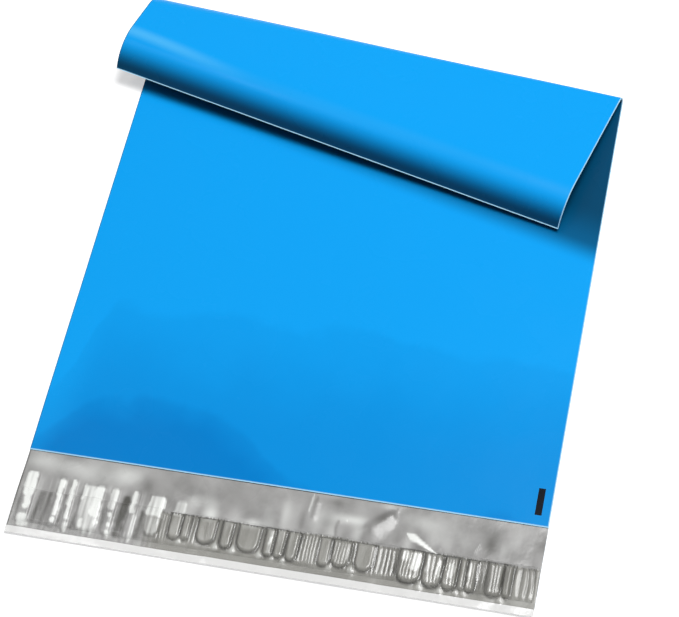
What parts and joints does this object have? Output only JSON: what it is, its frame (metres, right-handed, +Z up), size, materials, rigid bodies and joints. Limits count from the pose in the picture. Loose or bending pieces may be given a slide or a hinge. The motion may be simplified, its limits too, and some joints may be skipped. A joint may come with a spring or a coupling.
{
  "type": "poly mailer bag",
  "caption": "Flat plastic film mailing bag with an adhesive closing flap and release liner, lying with its far end rolled over.",
  "frame": {"origin": "on the back panel's underside, on the bag's centre line, 110 mm from the mouth", "axes": "+Z up out of the front panel, +Y from the mouth to the rolled end, +X to the right seen from the flap"},
  "size_m": [0.267, 0.3085, 0.0237],
  "materials": {
    "blue_film": "smooth, half gloss",
    "adhesive": "glossy hot melt over grey film",
    "liner": "clear frosted film"
  },
  "bodies": {
    "root": {"bag_film": "blue_film", "adhesive_strip": "adhesive", "release_liner": "liner"}
  },
  "joints": []
}
